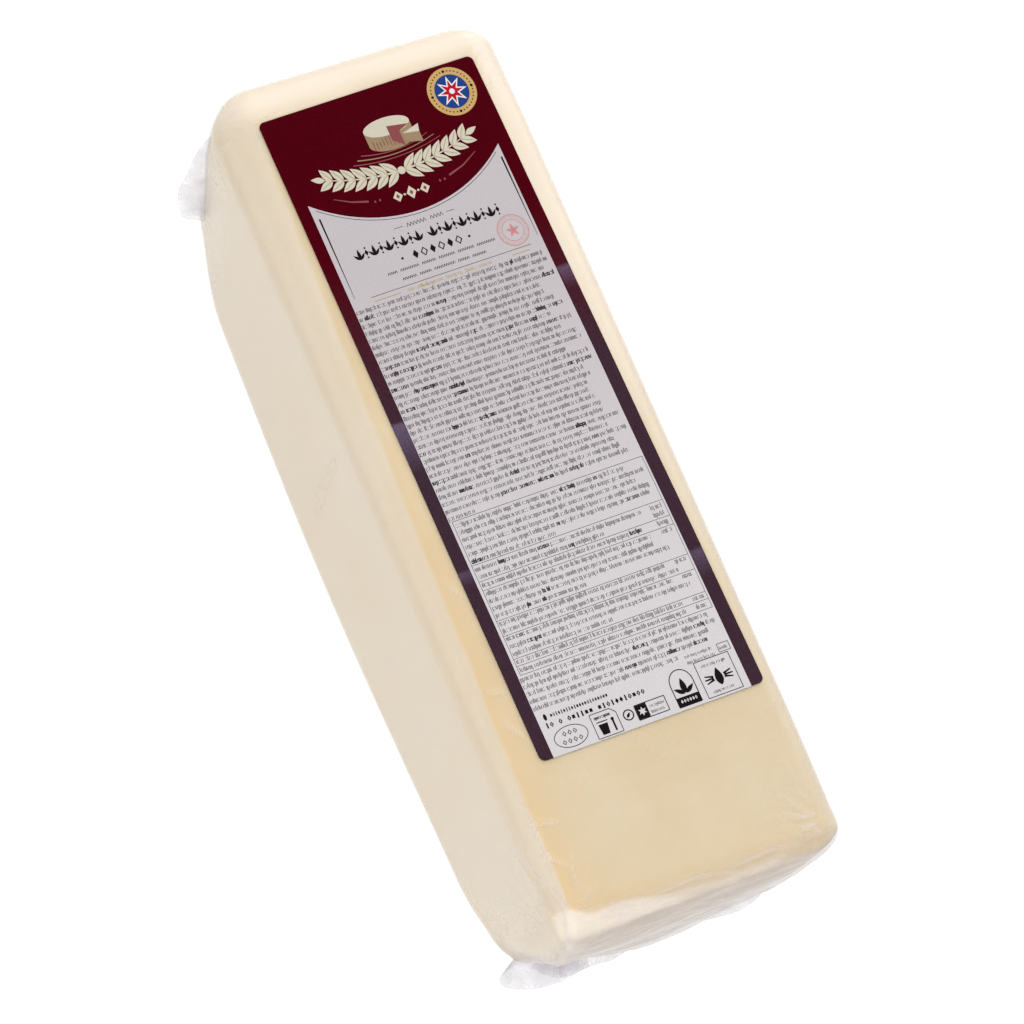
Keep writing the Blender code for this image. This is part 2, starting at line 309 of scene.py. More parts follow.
def cheddarMaterial():
    # close and waxy: light blurs just below the cut face, and only a faint curd grain shows
    material, add = emptyMaterial("waxy young cheddar")
    place = add("ShaderNodeTexCoord", output="Object")
    mottle = add("ShaderNodeTexNoise", {
        "Vector": place, "Scale": 1 / (cheddar["mottleSize"] * mm), "Detail": 3.0, "Roughness": 0.55})
    grain = add("ShaderNodeTexNoise", {
        "Vector": place, "Scale": 1 / (cheddar["grainSize"] * mm), "Detail": 2.0, "Roughness": 0.6})
    both = add("ShaderNodeMix", {"Factor": cheddar["grainShare"], "A": mottle, "B": grain}, "Result")
    toned = add("ShaderNodeValToRGB", {"Fac": both})
    stops = toned.node.color_ramp.elements
    for stop, position, shade in zip(stops, cheddar["mottleStops"], ("colour", "deepColour")):
        stop.position = position
        stop.color = toLinear(cheddar[shade])
    # painted light and shade mixed into the cheese's colour: warm light, pale sheen, cream highlight and grey
    # shade
    for name in ("warmLit", "paleSheen", "cream", "greyShade"):
        amount = add("ShaderNodeAttribute", output="Fac", attribute_name=name)
        tone = toLinear(cheddar[name + "Colour"])
        toned = add("ShaderNodeMix", {"Factor": amount, "A": toned, "B": tone}, "Result", data_type="RGBA")
    bump = add("ShaderNodeBump", {
        "Height": grain, "Strength": 0.25, "Distance": cheddar["grainHeight"] * mm})
    curd = add("ShaderNodeBsdfPrincipled", {
        "Base Color": toned, "Normal": bump, "Roughness": 0.5, "IOR": 1.44, "Specular IOR Level": 0.25,
        "Subsurface Weight": 0.25, "Subsurface Radius": (1.0, 0.62, 0.28),
        "Subsurface Scale": cheddar["lightDepth"] * mm})
    add("ShaderNodeOutputMaterial", {"Surface": curd})
    return material


def makeCheddar():
    plain, faces = boxGrid([meshLines(stretches) for stretches in cheddar["cuts"]])
    points, out = blockSurface(plain, cheddar["inset"])
    points[:, 2] += labelSheet["filmLift"] * underLabel(points[:, 0], points[:, 1]) * np.clip(out[:, 2], 0, 1)
    piece = newPiece("cheddar", points, faces, cheddarMaterial(), cheddarTone(points, out))
    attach(piece, "root")
    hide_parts("sealed_bag")
    print("cheddar:", len(points), "points")


# shrink film: clear multilayer barrier film, drawn tight by vacuum and heat, so it shows as gloss, as fine
# creases that catch the light, and as a milky haze where it is gathered or doubled

film = {
    "cuts": (                      # finest where the creases gather: start, end, step
        ((-65, -43, 0.9), (-43, 43, 2.4), (43, 65, 0.9)),
        ((-185, -145, 0.8), (-145, -31, 1.2), (-31, 161, 2.6), (161, 185, 0.9)),
        ((0, 16, 1.4), (16, 73, 2.4), (73, 95, 0.9)),
    ),
    "ior": 1.46,
    "roughness": 0.28,
    "sideHaze": {"left": 0.05, "right": 0.09, "far": 0.08, "near": 0.26},
    "foldSpacing": 5.5,            # fine creases: one every so often along the bag
    "foldLength": 26.0,
    "crinkleSize": 9.0,
    "creaseHeight": 0.35,
    "creaseMilk": 0.45,
    "flatHaze": 0.012,
    "bandHaze": (0.34, 0.14),      # along the near edge: its even part and its clouds
    "rippleHeight": (0.03, 0.3),   # on the tight faces, and more towards an edge
    "endFolds": (34, 34, 6.5),     # the gathered film over an end: size of its folds along each axis
    "endFoldHeight": 0.8,
    "endLumps": (17, 17, 11),
    "endLumpHeight": 0.35,
    "endMilk": (0.14, 0.08),       # of the folds, and of the lumps
    "farEndShare": 0.35,           # the far end's folds are shallower
    "cornerReach": (28, 45),       # how far the slack at the corners goes, along X and Y
    "seed": 7,
}

# single creases that show: face, path on it, height, width, milkiness. A path is in (x, y) on the top, in
# (y, z) on the long sides and in (x, z) on the ends
namedCreases = [
    ("top", [(-52, -37), (-46, -43)], 0.35, 0.7, 0.40),
    ("top", [(-55, -81), (-43, -85)], 0.40, 0.7, 0.45),
    ("top", [(-53, -94), (-45, -105)], 0.40, 0.7, 0.45),
    ("top", [(-59, -135), (-47, -139)], 0.45, 0.7, 0.50),
    ("top", [(-60, -147), (-50, -157)], 0.45, 0.7, 0.50),
    ("top", [(-56, 37), (-50, 28)], 0.35, 1.8, 0.15),
    ("top", [(-59, -122), (-58, -136), (-57.5, -149), (-58.5, -166), (-61, -178)], 0.60, 0.8, 0.55),
    ("top", [(-64, -142), (-62, -157), (-59.5, -169), (-60, -177)], 0.55, 0.8, 0.40),
    ("top", [(-56, -111), (-57, -129), (-58, -146)], 0.25, 0.8, 0.15),
    ("top", [(-47, -177), (-30, -181)], 0.35, 0.8, 0.40),
    ("top", [(45, -170), (54, -172)], 0.55, 0.8, 0.55),
    ("top", [(50, -146), (52, -166)], 0.45, 1.0, 0.22),
    ("top", [(53, -126), (58, -124)], 0.35, 0.9, 0.20),
    ("top", [(48, -137), (52, -138)], 0.35, 0.8, 0.20),
    ("top", [(-5, -119), (1, -124), (5, -130)], 0.30, 0.8, 0.22),
    ("top", [(3, -118), (12, -126)], 0.30, 0.8, 0.20),
    ("top", [(-37, -120), (-30, -129)], 0.30, 0.8, 0.20),
    ("top", [(-29, -118), (-25, -124)], 0.25, 0.8, 0.15),
    ("top", [(43, -176), (50, -175), (54, -180)], 0.50, 1.0, 0.35),
    ("left", [(26, 40), (32, 76)], 0.30, 2.0, 0.22),
    ("left", [(22, 30), (27, 52)], 0.25, 2.0, 0.18),
    ("left", [(-140, 82), (-158, 89), (-172, 90)], 0.45, 1.0, 0.35),
    ("near", [(-61, 92), (-60, 80), (-57, 60), (-50, 35), (-43, 12)], 1.3, 1.3, 1.0),
    ("near", [(-56, 80), (-52, 50), (-46, 25)], 0.8, 1.0, 0.5),
    ("near", [(-62, 87), (-47, 91), (-26, 91.5), (7, 91.5), (29, 91.5), (46, 89.5), (58, 88)],
     0.90, 1.1, 0.55),
    ("near", [(-58, 84), (-40, 78), (-12, 80)], 0.6, 0.9, 0.35),
    ("near", [(-14, 86), (14, 76), (44, 80)], 0.6, 0.9, 0.35),
    ("top", [(-44, -176), (-20, -179.5), (2, -181)], 0.4, 0.7, 0.45),
    ("top", [(-30, -178), (-4, -177.5), (16, -181)], 0.4, 0.7, 0.40),
    ("top", [(10, -179), (30, -178), (44, -180)], 0.4, 0.7, 0.40),
]

# fans of creases at the corners: corner, middle direction in degrees, spread, count, shortest, longest
sideFans = [
    ((-176, 84), 330, 70, 10, 8, 30),
    ((-172, 14), 30, 70, 12, 8, 34),
    ((166, 20), 150, 70, 12, 8, 34),
    ((172, 84), 215, 60, 8, 6, 24),
]
creaseFans = {
    "top": [
        ((56, -176), 135, 95, 16, 6, 26),
        ((-56, -176), 45, 80, 12, 5, 20),
        ((57, 172), 225, 80, 8, 5, 15),
        ((-52, 170), 315, 70, 8, 5, 15),
    ],
    "left": sideFans,
    "right": sideFans,
    "near": [((-55, 14), 40, 80, 14, 8, 40), ((55, 14), 140, 80, 14, 8, 40)],
    "far": [((-55, 40), 0, 100, 14, 8, 36), ((55, 40), 180, 100, 14, 8, 36)],
}

# painted highlights, drawn as milky film where it catches the light: face, centre, size, strength
highlightHazePatches = [
    ("top", (-51, -175), (6.5, 4.5), 0.30),
    ("top", (-37, -177), (8.0, 2.2), 0.20),
    ("top", (34, -181), (8.0, 2.0), 0.22),
    ("top", (50, -177), (5.0, 3.5), 0.15),
    ("left", (-174, 62), (4.0, 22.0), 0.25),
    ("near", (-58, 84), (4.0, 8.0), 0.25),
    ("left", (-174, 14), (12.0, 12.0), 0.45),
    ("near", (-55, 14), (9.0, 10.0), 0.30),
]

faceAxes = {
    "top": (0, 1, (0, 0, 1)), "left": (1, 2, (-1, 0, 0)), "right": (1, 2, (1, 0, 0)),
    "near": (0, 2, (0, -1, 0)), "far": (0, 2, (0, 1, 0)),
}


def onFace(points, out, face):
    first, second, facing = faceAxes[face]
    return points[:, [first, second]], smoothStep(out @ np.array(facing, float) / 0.6)


def creaseProfile(flat, path, width):
    # 1 on the crease's line, falling to 0 beside it and tapering towards both ends
    path = np.array(path, float)
    spans = np.linalg.norm(np.diff(path, axis=0), axis=1)
    starts = np.concatenate([[0.0], np.cumsum(spans)])
    best = np.full(len(flat), 1e9)
    place = np.zeros(len(flat))
    for index, span in enumerate(spans):
        along = (path[index + 1] - path[index]) / span
        t = np.clip((flat - path[index]) @ along, 0.0, span)
        distance = np.linalg.norm(flat - path[index] - np.outer(t, along), axis=1)
        closer = distance < best
        best[closer] = distance[closer]
        place[closer] = (starts[index] + t[closer]) / starts[-1]
    taper = np.sin(math.pi * np.clip(place * 0.94 + 0.03, 0, 1)) ** 0.6
    return np.exp(-(best / width) ** 2) * taper


def fanCrease(draw, corner, angle, shortest, longest):
    # one crease of a fan, slightly bent: its path, height, width and milkiness
    length = draw.uniform(shortest, longest)
    start = draw.uniform(1.0, 12.0)
    bend = math.radians(draw.uniform(-14, 14))
    path = []
    for t in (0, 1 / 3, 2 / 3, 1):
        reach, turned = start + length * t, angle + bend * t
        path.append((corner[0] + reach * math.cos(turned), corner[1] + reach * math.sin(turned)))
    height = draw.uniform(0.08, 0.30)
    return path, height, draw.uniform(0.7, 1.1), height * draw.uniform(0.4, 1.0)


def allCreases():
    draw = random.Random(film["seed"])
    creases = list(namedCreases)
    for face, fans in creaseFans.items():
        for corner, middle, spread, count, shortest, longest in fans:
            for index in range(count):
                angle = math.radians(middle + spread * ((index + draw.random()) / count - 0.5))
                creases.append((face, *fanCrease(draw, corner, angle, shortest, longest)))
    return creases


def underLabel(x, y):
    # 1 below the label and just round it, where the film lies flat
    topLeft, topRight, lowLeft, lowRight = [np.array(corner) for corner in labelSheet["corners"]]
    beyond = np.full(len(x), -1e9)
    for start, end in ((topLeft, topRight), (topRight, lowRight), (lowRight, lowLeft), (lowLeft, topLeft)):
        across = np.array((start[1] - end[1], end[0] - start[0])) / np.linalg.norm(end - start)
        beyond = np.maximum(beyond, (x - start[0]) * across[0] + (y - start[1]) * across[1])
    return smoothStep((1.5 - beyond) / 1.5)


def filmRelief(points, out):
    # how far the film stands out, how milky it is and how loose, at each point
    x, y, z = points.T
    calm = 1 - underLabel(x, y) * np.clip(out[:, 2] * 2, 0, 1)
    endFace = smoothStep((abs(out[:, 1]) - 0.55) / 0.3)
    cloud = noiseAt(points, (13, 13, 9), 3)

    # even milkiness of the sides, which starts where the edges begin to turn down
    haze = np.full(len(points), film["flatHaze"])
    for name, axis, way in (("left", 0, -1), ("right", 0, 1), ("far", 1, 1), ("near", 1, -1)):
        turned = smoothStep((way * out[:, axis] - 0.04) / 0.35)
        haze = np.maximum(haze, film["sideHaze"][name] * turned * (1 + 0.18 * cloud))
    band = smoothStep((nearHazeLine(x) - y + 0.8 * cloud) / 1.8) * smoothStep((z - 60) / 20)
    even, clouds = film["bandHaze"]
    haze = np.maximum(haze, band * (even + clouds * cloud) * (1 - 0.5 * smoothStep((x + 20) / 50)))

    rise = np.zeros(len(points))
    for face, path, height, width, milk in allCreases():
        flat, facing = onFace(points, out, face)
        profile = creaseProfile(flat, path, width) * facing
        rise += height * profile
        haze += milk * profile
    # painted highlights, laid on as milky patches
    for face, centre, size, strength in highlightHazePatches:
        flat, facing = onFace(points, out, face)
        distance = np.linalg.norm((flat - np.array(centre)) / np.array(size), axis=1)
        haze += strength * smoothStep((1.3 + 0.5 * cloud - distance) / 0.9) * facing

    # gathered film over both end faces: long folds along X, broken up by smaller lumps
    warped = points + np.stack([0 * x, 0 * x, 5.0 * noiseAt(points, (26, 26, 26), 5)], axis=1)
    folds = 1.0 - abs(noiseAt(warped, film["endFolds"], 1)) * 2.4
    lumps = noiseAt(points, film["endLumps"], 2)
    gathered = film["endFoldHeight"] * np.clip(folds, -0.5, 1) + film["endLumpHeight"] * lumps + 0.4
    rise += endFace * np.where(y > 0, film["farEndShare"], 1.0) * gathered
    foldMilk, lumpMilk = film["endMilk"]
    haze += endFace * (foldMilk * np.clip(folds, 0, 1) ** 3 + lumpMilk * lumps)

    # fine ripples over the tight faces, a little stronger along the edges
    edge = 1.0 - np.max(abs(out), axis=1)
    onFaces, onEdges = film["rippleHeight"]
    rise += (onFaces + onEdges * edge) * (0.6 + noiseAt(points, (14, 9, 9), 4)) * (1 - endFace)
    rise *= calm * smoothStep(z / 3.0)
    rise += labelSheet["filmLift"] * (1 - calm)

    # loosest at the corners and over the near end
    reachX, reachY = film["cornerReach"]
    halfX, halfY, _ = blockShape["halfSize"]
    corner = smoothStep(1 - (halfY - abs(y)) / reachY) * smoothStep(1 - (halfX - abs(x)) / reachX)
    atEnd = np.where(y > 0, 0.03, 0.07) * endFace
    slack = np.clip(0.01 + 0.08 * edge + atEnd + 0.1 * corner, 0, 1) * calm
    return rise, np.clip(haze, 0, 0.9) * (0.15 + 0.85 * calm), slack


def filmFlow(points, out):
    # each point's place on the unrolled film: along the bag, and round it
    x, y, z = points.T
    overEnd = smoothStep((abs(out[:, 1]) - 0.3) / 0.4)
    overSide = smoothStep((abs(out[:, 0]) - 0.3) / 0.4)
    down = 2 * blockShape["halfSize"][2] - z
    along = np.sign(y) * (abs(y) + overEnd * down)
    across = np.sign(x) * (abs(x) + overSide * down)
    return np.stack([along, across, 0 * x], axis=1)


def creaseLines(add, place, scale, distortion, seed):
    # thin lines, 1 along each crease and 0 between them, where a soft noise passes its middle value
    pattern = add("ShaderNodeTexNoise", {
        "Vector": place, "Scale": scale, "Detail": 2.0, "Distortion": distortion, "W": seed},
        noise_dimensions="4D")
    middle = add("ShaderNodeMath", {0: pattern, 1: 0.5}, operation="SUBTRACT")
    apart = add("ShaderNodeMath", {0: middle}, operation="ABSOLUTE")
    return add("ShaderNodeMapRange", {
        "Value": apart, "From Max": 0.045, "To Min": 1.0, "To Max": 0.0}, interpolation_type="SMOOTHSTEP")


def filmMaterial(name, milkColour):
    # multilayer barrier film: nearly clear, glossy, white along its creases
    material, add = emptyMaterial(name)
    place = add("ShaderNodeTexCoord", output="Object")
    haze = add("ShaderNodeAttribute", output="Fac", attribute_name="haze")
    slack = add("ShaderNodeAttribute", output="Fac", attribute_name="slack")
    flow = add("ShaderNodeAttribute", output="Vector", attribute_name="flow")
    spread = add("ShaderNodeVectorMath", {
        0: flow, 1: (1 / film["foldSpacing"], 1 / film["foldLength"], 1.0)}, operation="MULTIPLY")
    folds = creaseLines(add, spread, 0.5, 0.35, 1.0)
    crinkles = creaseLines(add, place, 1 / (film["crinkleSize"] * mm), 0.9, 5.0)
    lines = add("ShaderNodeMath", {0: folds, 1: crinkles}, operation="ADD")
    normal = add("ShaderNodeBump", {
        "Height": lines, "Strength": slack, "Distance": film["creaseHeight"] * mm})

    # a clear sheet that shines more where it is seen aslant, and only on its outer face
    clear = add("ShaderNodeBsdfTransparent")
    gloss = add("ShaderNodeBsdfGlossy", {"Roughness": film["roughness"], "Normal": normal})
    fresnel = add("ShaderNodeFresnel", {"IOR": film["ior"], "Normal": normal})
    tight = add("ShaderNodeMixShader", {0: fresnel, 1: clear, 2: gloss})
    inside = add("ShaderNodeNewGeometry", output="Backfacing")
    thin = add("ShaderNodeMixShader", {0: inside, 1: tight, 2: clear})

    # its milky places, along the creases and where it is gathered
    front, through = [add(kind, {"Color": toLinear(milkColour), "Normal": normal})
                      for kind in ("ShaderNodeBsdfDiffuse", "ShaderNodeBsdfTranslucent")]
    cloudy = add("ShaderNodeMixShader", {0: 0.5, 1: front, 2: through})
    white = add("ShaderNodeMath", {0: lines, 1: slack}, operation="MULTIPLY")
    creased = add("ShaderNodeMath", {
        0: white, 1: film["creaseMilk"], 2: haze}, operation="MULTIPLY_ADD", use_clamp=True)
    whole = add("ShaderNodeMixShader", {0: creased, 1: thin, 2: cloudy})
    add("ShaderNodeOutputMaterial", {"Surface": whole})
    return material


def makeBagFilm():
    plain, faces = boxGrid([meshLines(stretches) for stretches in film["cuts"]])
    points, out = blockSurface(plain, 0.0)
    rise, haze, slack = filmRelief(points, out)
    flow = filmFlow(points, out)
    points = points + out * rise[:, None]
    points[:, 2] = np.maximum(points[:, 2], 0.0)
    piece = newPiece("bag_film", points, faces, filmMaterial("clear shrink film", "#faf7f3"),
                     {"haze": haze, "slack": slack, "flow": flow})
    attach(piece, "root")
    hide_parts("sealed_bag")
    print("bag film:", len(points), "points,", len(faces), "quads")


# loose film: webs down the far corners, ears at the near bottom corners and a heat seal across each end

looseFilm = {
    "thickness": 0.25,             # drawn thicker than the real film, so that it shows
    "wave": 1.1,
    "waveLength": 13.0,
    "crumple": 0.9,
    "crumpleSize": 11.0,
    "haze": 0.42,
    "hazeLimits": (0.12, 0.8),
    "tipClearness": 0.55,          # how much of its milkiness a flap loses at its tip
    "slack": 0.16,
    "webSteps": (66, 24),          # mesh steps along the root and outwards
    "earSteps": (66, 30),
    "sealSteps": (130, 12),
    "webRoot": ((-50, 166, 88), (-47, 158, 24)),
    "webTip": ((-56, 170, 90), (-63.2, 171, 84), (-66.6, 171, 66), (-69.2, 168, 48), (-69.4, 165, 35),
               (-66, 160, 24), (-53, 158, 19)),
    "earRoot": ((-49, -160, 16), (-28, -178, 18)),
    "earTip": ((-54.5, -169, 14), (-58, -175.5, 12), (-64, -178, 9), (-62, -182.2, 7), (-53, -186.2, 7),
               (-40, -188.2, 8), (-27, -187, 11)),
    "sealHalfWidth": 52.0,
    "sealReach": 185.5,
    "sealRoot": 176.0,
    "sealRipple": 1.4,
    "sealHeights": {"near": 14.0, "far": 40.0},
    "gathers": ((-36, 12, 2.2), (-13, 8, 2.6), (49, 8, 2.2)),      # place along X, width, reach
}


def curvePoint(points, t):
    # a point on the smooth curve through the given points, t from 0 to 1
    place = t * (len(points) - 1)
    index = min(int(place), len(points) - 2)
    local = place - index
    p1, p2 = Vector(points[index]), Vector(points[index + 1])
    p0 = Vector(points[index - 1]) if index > 0 else 2 * p1 - p2
    p3 = Vector(points[index + 2]) if index + 2 < len(points) else 2 * p2 - p1
    slope = 2 * p0 - 5 * p1 + 4 * p2 - p3
    bend = 3 * p1 - p0 - 3 * p2 + p3
    return 0.5 * (2 * p1 + (p2 - p0) * local + slope * local ** 2 + bend * local ** 3)


def flapSheet(root, tip, stepsAlong, stepsOut, side, seed):
    # one wavy flap: its points, quads, places on the unrolled film, and how much of its milkiness is left
    rootStart, rootEnd = Vector(root[0]), Vector(root[1])
    rootLine = rootEnd - rootStart
    points, flow, milkiness = [], [], []
    for i in range(stepsAlong + 1):
        along = i / stepsAlong
        start = rootStart.lerp(rootEnd, along)
        edge = curvePoint(tip, along)
        lift = (edge - start).cross(rootLine).normalized()
        span = (edge - start).length
        for j in range(stepsOut + 1):
            out = j / stepsOut
            phase = 2 * math.pi * (span * out + 0.3 * rootLine.length * along) / looseFilm["waveLength"]
            place = start.lerp(edge, out)
            crumple = noise.fractal(place / looseFilm["crumpleSize"] + Vector((seed, 0, 0)), 0.6, 2.0, 3)
            rise = looseFilm["wave"] * math.sin(phase) + looseFilm["crumple"] * crumple
            place = place + lift * out * rise
            points.append((side * place.x, place.y, place.z))
            flow.append((along * rootLine.length * 1.6, span * out, seed))
            milkiness.append(1 - looseFilm["tipClearness"] * out ** 3)
    quads = gridQuads(stepsAlong, stepsOut, (0, 1, 2, 3))
    return np.array(points), np.array(quads), np.array(flow), np.array(milkiness)


def sealTip(end, height, phase):
    points = []
    count = 12
    for step in range(count + 1):
        x = mix(-looseFilm["sealHalfWidth"], looseFilm["sealHalfWidth"], step / count)
        fade = float(smoothStep((looseFilm["sealHalfWidth"] - abs(x)) / 12.0))
        ripple = looseFilm["sealRipple"] * math.sin(phase + 2.1 * step)
        furthest = looseFilm["sealReach"] + 0.5 * ripple
        for centre, width, reach in looseFilm["gathers"]:
            furthest += reach * math.exp(-((x - centre) / width) ** 2)
        reach = mix(looseFilm["sealRoot"], furthest, 0.35 + 0.65 * fade)
        points.append((x, end * reach, height - 4.0 * fade + ripple * 2))
    return points


def makeLooseFilm():
    sheets = []
    for side, seed in ((1, 1), (-1, 2)):
        for flap, shift in (("web", 0), ("ear", 4)):
            sheets.append(flapSheet(looseFilm[flap + "Root"], looseFilm[flap + "Tip"],
                                    *looseFilm[flap + "Steps"], side, seed + shift))
    for end, name, phase in ((-1, "near", 0.4), (1, "far", 1.9)):
        height = looseFilm["sealHeights"][name]
        root = ((-45, end * looseFilm["sealRoot"], height), (45, end * looseFilm["sealRoot"], height))
        sheets.append(flapSheet(root, sealTip(end, height, phase), *looseFilm["sealSteps"], 1, 9 + end))
    starts = np.cumsum([0] + [len(sheet[0]) for sheet in sheets])
    points, flow, milkiness = [np.concatenate([sheet[k] for sheet in sheets]) for k in (0, 2, 3)]
    faces = np.concatenate([sheet[1] + start for sheet, start in zip(sheets, starts)])
    count = len(points)
    haze = looseFilm["haze"] * milkiness * (1 + 0.5 * noiseAt(points, (6, 6, 6), 8))
    haze = np.clip(haze, *looseFilm["hazeLimits"])
    piece = newPiece("loose_film", points, faces, filmMaterial("gathered shrink film", "#dfdce2"),
                     {"haze": haze, "slack": np.full(count, looseFilm["slack"]), "flow": flow})
    thickness = piece.modifiers.new("film thickness", "SOLIDIFY")
    thickness.thickness = looseFilm["thickness"] * mm
    thickness.offset = 0.0
    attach(piece, "root")
    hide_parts("sealed_bag")
    print("loose film:", count, "points")


# the label: a coated paper sheet, offset printed and varnished, so it is dark and glossy with a soft bloom

labelSheet = {
    "width": 99.1,
    "length": 283.7,
    "thickness": 0.1,
    "drop": 0.23,                  # below the model's label, which is drawn thicker than the sheet
    "filmLift": 0.25,              # film and cheese come up to meet it
    "corner": 2.6,
    # as it was stuck on, not quite square: top left and right, low left and right
    "corners": ((-47.7, 167.0), (50.5, 169.3), (-44.5, -114.2), (56.8, -115.0)),
    "cell": 1.6,
    "sheenMarks": (                    # painted sheen, pale across its edge strips: from u, to u, from v, to v, strength
        (0, 6, 136.5, 158, 0.55), (0, 6, 201.5, 208, 0.35),
        (93, 99.1, 97, 106, 0.45), (93, 99.1, 224, 236, 0.4),
    ),
    # the colour of the painted sheen
    "sheenMarkColour": "#7a6a86",
    "layerStep": 0.03,             # ink layers, drawn thick enough to stay apart
    # maroon at the top; lower down a greyer plum, a painted reflection on the varnish
    "topColour": "#4a000d",
    "lowReflectionColour": "#3d2a35",
    "roughness": 0.34,
}

# how the sheet's own field of colour and the inks on it look, and where a painted reflection fades in down
# the label
sheetLook = {
    "fade": (55.0, 150.0), "mottleSize": 0.8, "mottle": (0.55, 1.5),
    "swellSize": 30.0, "swellDetail": 2.0, "swell": 0.4, "swellHeight": 0.2, "shine": 0.01,
}
inkLook = {
    "fade": (70.0, 260.0), "mottleSize": 0.9, "mottle": (0.92, 1.08),
    "swellSize": 9.0, "swellDetail": 3.0, "swell": 0.35, "swellHeight": 0.12, "shine": 0.04,
}
inks = {                           # colour, colour at the foot of the label with its painted reflection, roughness
    # the panel's lighter foot is a painted reflection
    "panel": ("#c4bdc0", "#d6d1d3", 0.42),
    "dark": ("#171216", None, 0.5),
    "cream": ("#cfc8b4", None, 0.42),
    "tan": ("#9c8566", None, 0.42),
    "rose": ("#8a4a4c", None, 0.45),
    "gold": ("#c9a468", None, 0.36),
    "blue": ("#1f3f80", None, 0.4),
    "red": ("#b3152b", None, 0.4),
    "white": ("#e9e6e6", None, 0.42),
    "pink": ("#c98a86", None, 0.5),
    "ochre": ("#b49a66", None, 0.5),
}
printed = {ink: [] for ink in inks}


def onLabel(u, v, layer):
    # u to the right and v down from the label's top left corner, as the label reads
    across, down = u / labelSheet["width"], v / labelSheet["length"]
    topLeft, topRight, lowLeft, lowRight = labelSheet["corners"]
    x = mix(mix(topLeft[0], topRight[0], across), mix(lowLeft[0], lowRight[0], across), down)
    y = mix(mix(topLeft[1], topRight[1], across), mix(lowLeft[1], lowRight[1], across), down)
    height = labelTop / mm - labelSheet["drop"] + topWave(x, y) + layer * labelSheet["layerStep"]
    return x, y, float(height)


def lay(ink, layer, *groups):
    printed[ink] += [(layer, polygon) for polygons in groups for polygon in polygons]


def stroke(points, width, endWidth=None):
    # a line of quads along the points, in steps short enough to follow the sheet
    pieces = []
    total = sum(math.dist(a, b) for a, b in zip(points, points[1:]))
    done = 0.0
    endWidth = width if endWidth is None else endWidth
    for a, b in zip(points, points[1:]):
        length = math.dist(a, b)
        sideU, sideV = -(b[1] - a[1]) / length, (b[0] - a[0]) / length
        steps = max(1, math.ceil(length / 5.0))
        for step in range(steps):
            low, high = [], []
            for t in (step / steps, (step + 1) / steps):
                half = mix(width, endWidth, (done + length * t) / total) / 2
                u, v = mix(a[0], b[0], t), mix(a[1], b[1], t)
                low.append((u - sideU * half, v - sideV * half))
                high.append((u + sideU * half, v + sideV * half))
            pieces.append(low + high[::-1])
        done += length
    return pieces


def around(u, v, radius, angle, squash=1.0):
    # the point at a distance and an angle in degrees from (u, v)
    return u + radius * math.cos(math.radians(angle)), v + squash * radius * math.sin(math.radians(angle))


def oval(u, v, halfU, halfV, sides=40):
    return [(u + halfU * math.cos(2 * math.pi * k / sides), v + halfV * math.sin(2 * math.pi * k / sides))
            for k in range(sides)]


def ring(u, v, halfU, halfV, width, sides=48):
    outer, inner = oval(u, v, halfU, halfV, sides), oval(u, v, halfU - width, halfV - width, sides)
    return [[outer[k - 1], outer[k], inner[k], inner[k - 1]] for k in range(sides)]


def disc(u, v, radius, sides=60):
    # a round field in rings of quads, which follow the sheet
    pieces = []
    steps = max(1, math.ceil(radius / 2.5))
    for step in range(steps):
        pieces += ring(u, v, radius * (step + 1) / steps, radius * (step + 1) / steps, radius / steps, sides)
    return pieces


def rays(u, v, points, outer, inner):
    # a star as kites round its middle
    pieces = []
    for k in range(points):
        a = 2 * math.pi * k / points - math.pi / 2
        b = math.pi / points
        pieces.append([(u, v)] + [(u + r * math.cos(a + d), v + r * math.sin(a + d))
                                  for r, d in ((inner, -b), (outer, 0), (inner, b))])
    return pieces


def lozenge(u, v, width, height):
    return [(u - width / 2, v), (u, v - height / 2), (u + width / 2, v), (u, v + height / 2)]


def hollowLozenge(u, v, width, height, line):
    outer, inner = lozenge(u, v, width, height), lozenge(u, v, width - 2.6 * line, height - 2.6 * line)
    return [[outer[k - 1], outer[k], inner[k], inner[k - 1]] for k in range(4)]


def leaf(u, v, length, width, angle):
    # a pointed leaf from (u, v) along the angle, in degrees
    half = [(t / 8 * length, 0.5 * width * math.sin(math.pi * (t / 8) ** 0.8)) for t in range(9)]
    outline = half + [(p, -q) for p, q in reversed(half[1:-1])]
    c, s = math.cos(math.radians(angle)), math.sin(math.radians(angle))
    return [(u + p * c - q * s, v + p * s + q * c) for p, q in outline]


def frameLines(left, top, right, bottom, width):
    return stroke([(left, top), (right, top), (right, bottom), (left, bottom), (left, top)], width)


# the small marks, each made of bars: from and to across, 0 to 1, and up from the baseline, 1 being as tall
# as the print, then thickness
barMarks = (
    ((0, 0, 0, 1, 1),), ((0, 0, 0, 1, 1),), ((0, 0, 0, 1, 1),), ((0, 0, 0, 1.4, 1),), ((0, -0.4, 0, 1, 1),),
    ((0, 0, 0.45, 1, 0.9),), ((0, 0, 0.45, 1, 0.9),), ((0, 0, 0, 0.42, 1.1), (0, 0.6, 0, 1.02, 1.1)),
    ((0, 0.1, 0.7, 0.1, 0.8), (0, 0.9, 0.7, 0.9, 0.8)),
)


def marks(draw, left, right, baseline, height, pitch, weight):
    # bars and dashes in short groups, as plain stand-ins for small print
    pieces = []
    wide = pitch * 0.55
    u = left
    while u < right - pitch:
        line = weight * (1.7 if draw.random() < 0.06 else 1.0)
        for _ in range(draw.randint(3, 14)):
            if u > right - wide:
                break
            bars = draw.choice(barMarks)
            for fromU, fromV, toU, toV, thick in bars:
                low = (u + wide * fromU, baseline - height * fromV)
                high = (u + wide * toU, baseline - height * toV)
                pieces += stroke([low, high], line * thick)
            u += wide * max(bar[2] for bar in bars) + pitch * 0.43
        u += pitch * 0.55
    return pieces


